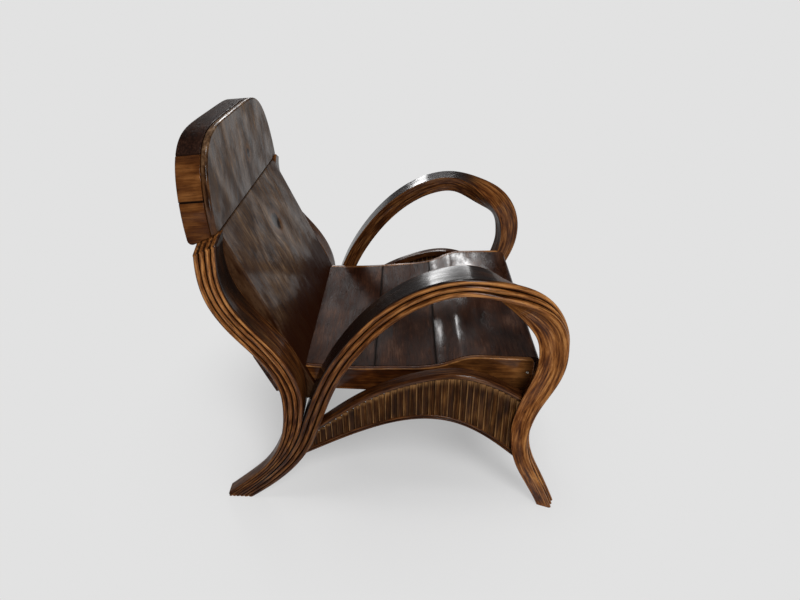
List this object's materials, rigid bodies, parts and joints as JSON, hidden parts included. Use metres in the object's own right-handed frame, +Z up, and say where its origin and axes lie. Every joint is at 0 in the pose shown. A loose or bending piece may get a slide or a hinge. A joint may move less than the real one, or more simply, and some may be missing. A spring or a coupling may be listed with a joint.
{
  "type": "armchair",
  "caption": "Low lounge armchair with bent laminated slat arms and rear posts, arched reed side aprons, a dished board seat, a leaning board back and a rounded headrest.",
  "frame": {"origin": "on the floor, at the middle of the chair's bounding box", "axes": "+Z up, -Y toward the front of the chair, +X toward the sitter's left"},
  "size_m": [0.7134, 0.8078, 0.8579],
  "materials": {
    "amber_slat": "gloss lacquered amber-brown bent slats",
    "brown_reed": "dark brown lacquered split reeds",
    "dark_board": "very dark brown gloss lacquer",
    "brown_edge": "brown lacquer with visible grain",
    "nail_steel": "worn bright nail heads"
  },
  "bodies": {
    "root": {"arm_slat_1_right": "amber_slat", "arm_slat_2_right": "amber_slat", "arm_slat_3_right": "amber_slat", "arm_slat_1_left": "amber_slat", "arm_slat_2_left": "amber_slat", "arm_slat_3_left": "amber_slat", "post_slat_1_right": "amber_slat", "post_slat_2_right": "amber_slat", "post_slat_3_right": "amber_slat", "post_slat_4_right": "amber_slat", "post_slat_1_left": "amber_slat", "post_slat_2_left": "amber_slat", "post_slat_3_left": "amber_slat", "post_slat_4_left": "amber_slat", "apron_top_rail_right": "brown_edge", "apron_top_rail_left": "brown_edge", "apron_low_rail_1_right": "brown_edge", "apron_low_rail_2_right": "brown_edge", "apron_low_rail_1_left": "brown_edge", "apron_low_rail_2_left": "brown_edge", "apron_reeds_right": "brown_reed", "apron_reeds_left": "brown_reed", "seat_facing_right": "brown_edge", "seat_facing_left": "brown_edge", "seat_nail_1_right": "nail_steel", "seat_nail_2_right": "nail_steel", "seat_nail_1_left": "nail_steel", "seat_nail_2_left": "nail_steel", "seat_board_rear": "dark_board", "seat_board_middle": "dark_board", "seat_board_front": "dark_board", "front_rail": "brown_edge", "back_board": "dark_board", "rear_rail": "brown_edge", "back_batten": "brown_edge", "headrest_face": "dark_board", "headrest_core_low": "brown_edge", "headrest_core_middle": "brown_edge", "headrest_core_top": "dark_board"}
  },
  "joints": []
}
